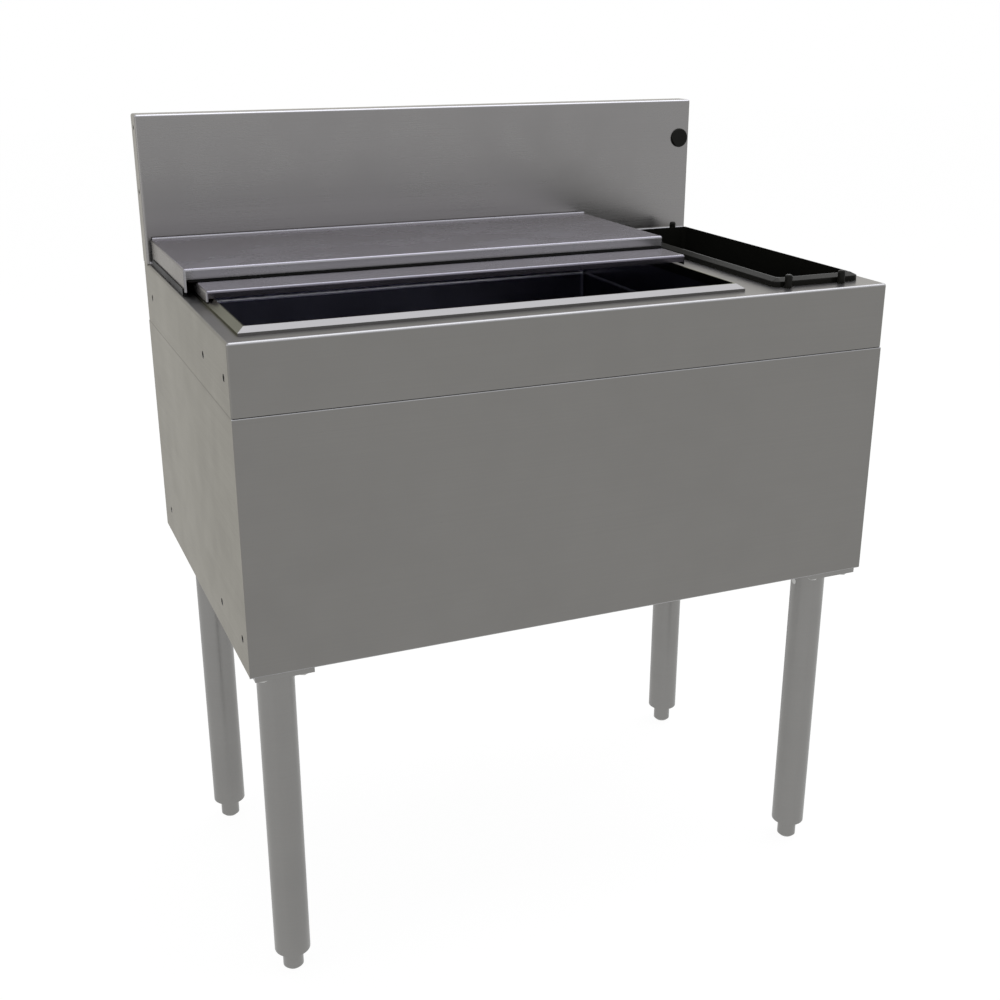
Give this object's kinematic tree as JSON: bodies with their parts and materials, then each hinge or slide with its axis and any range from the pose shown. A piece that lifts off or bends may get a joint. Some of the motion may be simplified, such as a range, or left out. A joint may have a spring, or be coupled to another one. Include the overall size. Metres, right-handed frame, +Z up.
{
  "type": "underbar ice bin",
  "caption": "Stainless cabinet on adjustable legs with a backsplash, an insulated ice bin under sliding covers, and a lift-out bottle bin.",
  "frame": {"origin": "centre of the bounding box on the floor, between the four feet", "axes": "+Z up, +Y to the rear, where the backsplash stands, +X to the right as seen from the front"},
  "size_m": [0.762, 0.4858, 0.9378],
  "materials": {
    "stainless_sheet": "satin",
    "bin_liner": "satin",
    "inner_sheet": "satin",
    "leg_steel": "satin",
    "fastener_steel": "polished",
    "black_plastic": "satin",
    "runner_plastic": "matte",
    "drain_metal": "polished",
    "foam": "matte",
    "gasket_rubber": "matte"
  },
  "bodies": {
    "cabinet": {"deck_top": "stainless_sheet", "backsplash": "stainless_sheet", "front_panel": "stainless_sheet", "left_side_panel": "stainless_sheet", "right_side_panel": "stainless_sheet", "ice_bin_rim": "stainless_sheet", "ice_bin_liner": "bin_liner", "back_panel": "inner_sheet", "bottom_panel": "inner_sheet", "leg_channel_left": "inner_sheet", "leg_channel_right": "inner_sheet", "leg_tube_front_left": "leg_steel", "leg_plate_front_left": "leg_steel", "foot_insert_front_left": "leg_steel", "leg_tube_front_right": "leg_steel", "leg_plate_front_right": "leg_steel", "foot_insert_front_right": "leg_steel", "leg_tube_rear_left": "leg_steel", "leg_plate_rear_left": "leg_steel", "foot_insert_rear_left": "leg_steel", "leg_tube_rear_right": "leg_steel", "leg_plate_rear_right": "leg_steel", "foot_insert_rear_right": "leg_steel", "leg_plate_bolts": "fastener_steel", "leg_plate_nuts": "fastener_steel", "leg_set_screws": "fastener_steel", "back_panel_screws": "fastener_steel", "bottom_panel_screws": "fastener_steel", "bin_post_nuts": "fastener_steel", "bin_posts": "black_plastic", "drain_body": "drain_metal", "drain_locknut": "drain_metal", "bin_insulation": "foam", "drain_gasket": "gasket_rubber"},
    "lower_cover": {"lower_cover": "stainless_sheet", "lower_cover_glide_left": "runner_plastic", "lower_cover_glide_right": "runner_plastic"},
    "upper_cover": {"upper_cover": "stainless_sheet", "upper_cover_runner_left": "runner_plastic", "upper_cover_runner_right": "runner_plastic"},
    "bottle_bin": {"bottle_bin": "black_plastic"},
    "drain_strainer": {"drain_strainer": "drain_metal"},
    "hole_plug": {"hole_plug": "black_plastic"},
    "foot_front_left": {"bullet_foot_front_left": "leg_steel"},
    "foot_front_right": {"bullet_foot_front_right": "leg_steel"},
    "foot_rear_left": {"bullet_foot_rear_left": "leg_steel"},
    "foot_rear_right": {"bullet_foot_rear_right": "leg_steel"}
  },
  "joints": [
    {"name": "lower_cover_slide", "type": "slide", "parent": "cabinet", "child": "lower_cover", "axis": [0, 1, 0], "range_m": [-0.15, 0.063]},
    {"name": "upper_cover_slide", "type": "slide", "parent": "cabinet", "child": "upper_cover", "axis": [0, 1, 0], "range_m": [-0.213, 0]},
    {"name": "bottle_bin_lift", "type": "slide", "parent": "cabinet", "child": "bottle_bin", "axis": [0, 0, 1], "range_m": [0, 0.24]},
    {"name": "drain_strainer_lift", "type": "slide", "parent": "cabinet", "child": "drain_strainer", "axis": [0, 0, 1], "range_m": [0, 0.06]},
    {"name": "hole_plug_pull", "type": "slide", "parent": "cabinet", "child": "hole_plug", "axis": [0, -1, 0], "range_m": [0, 0.03]},
    {"name": "foot_front_left_screw", "type": "slide", "parent": "cabinet", "child": "foot_front_left", "axis": [0, 0, 1], "range_m": [-0.0127, 0.0127]},
    {"name": "foot_front_right_screw", "type": "slide", "parent": "cabinet", "child": "foot_front_right", "axis": [0, 0, 1], "range_m": [-0.0127, 0.0127]},
    {"name": "foot_rear_left_screw", "type": "slide", "parent": "cabinet", "child": "foot_rear_left", "axis": [0, 0, 1], "range_m": [-0.0127, 0.0127]},
    {"name": "foot_rear_right_screw", "type": "slide", "parent": "cabinet", "child": "foot_rear_right", "axis": [0, 0, 1], "range_m": [-0.0127, 0.0127]}
  ]
}
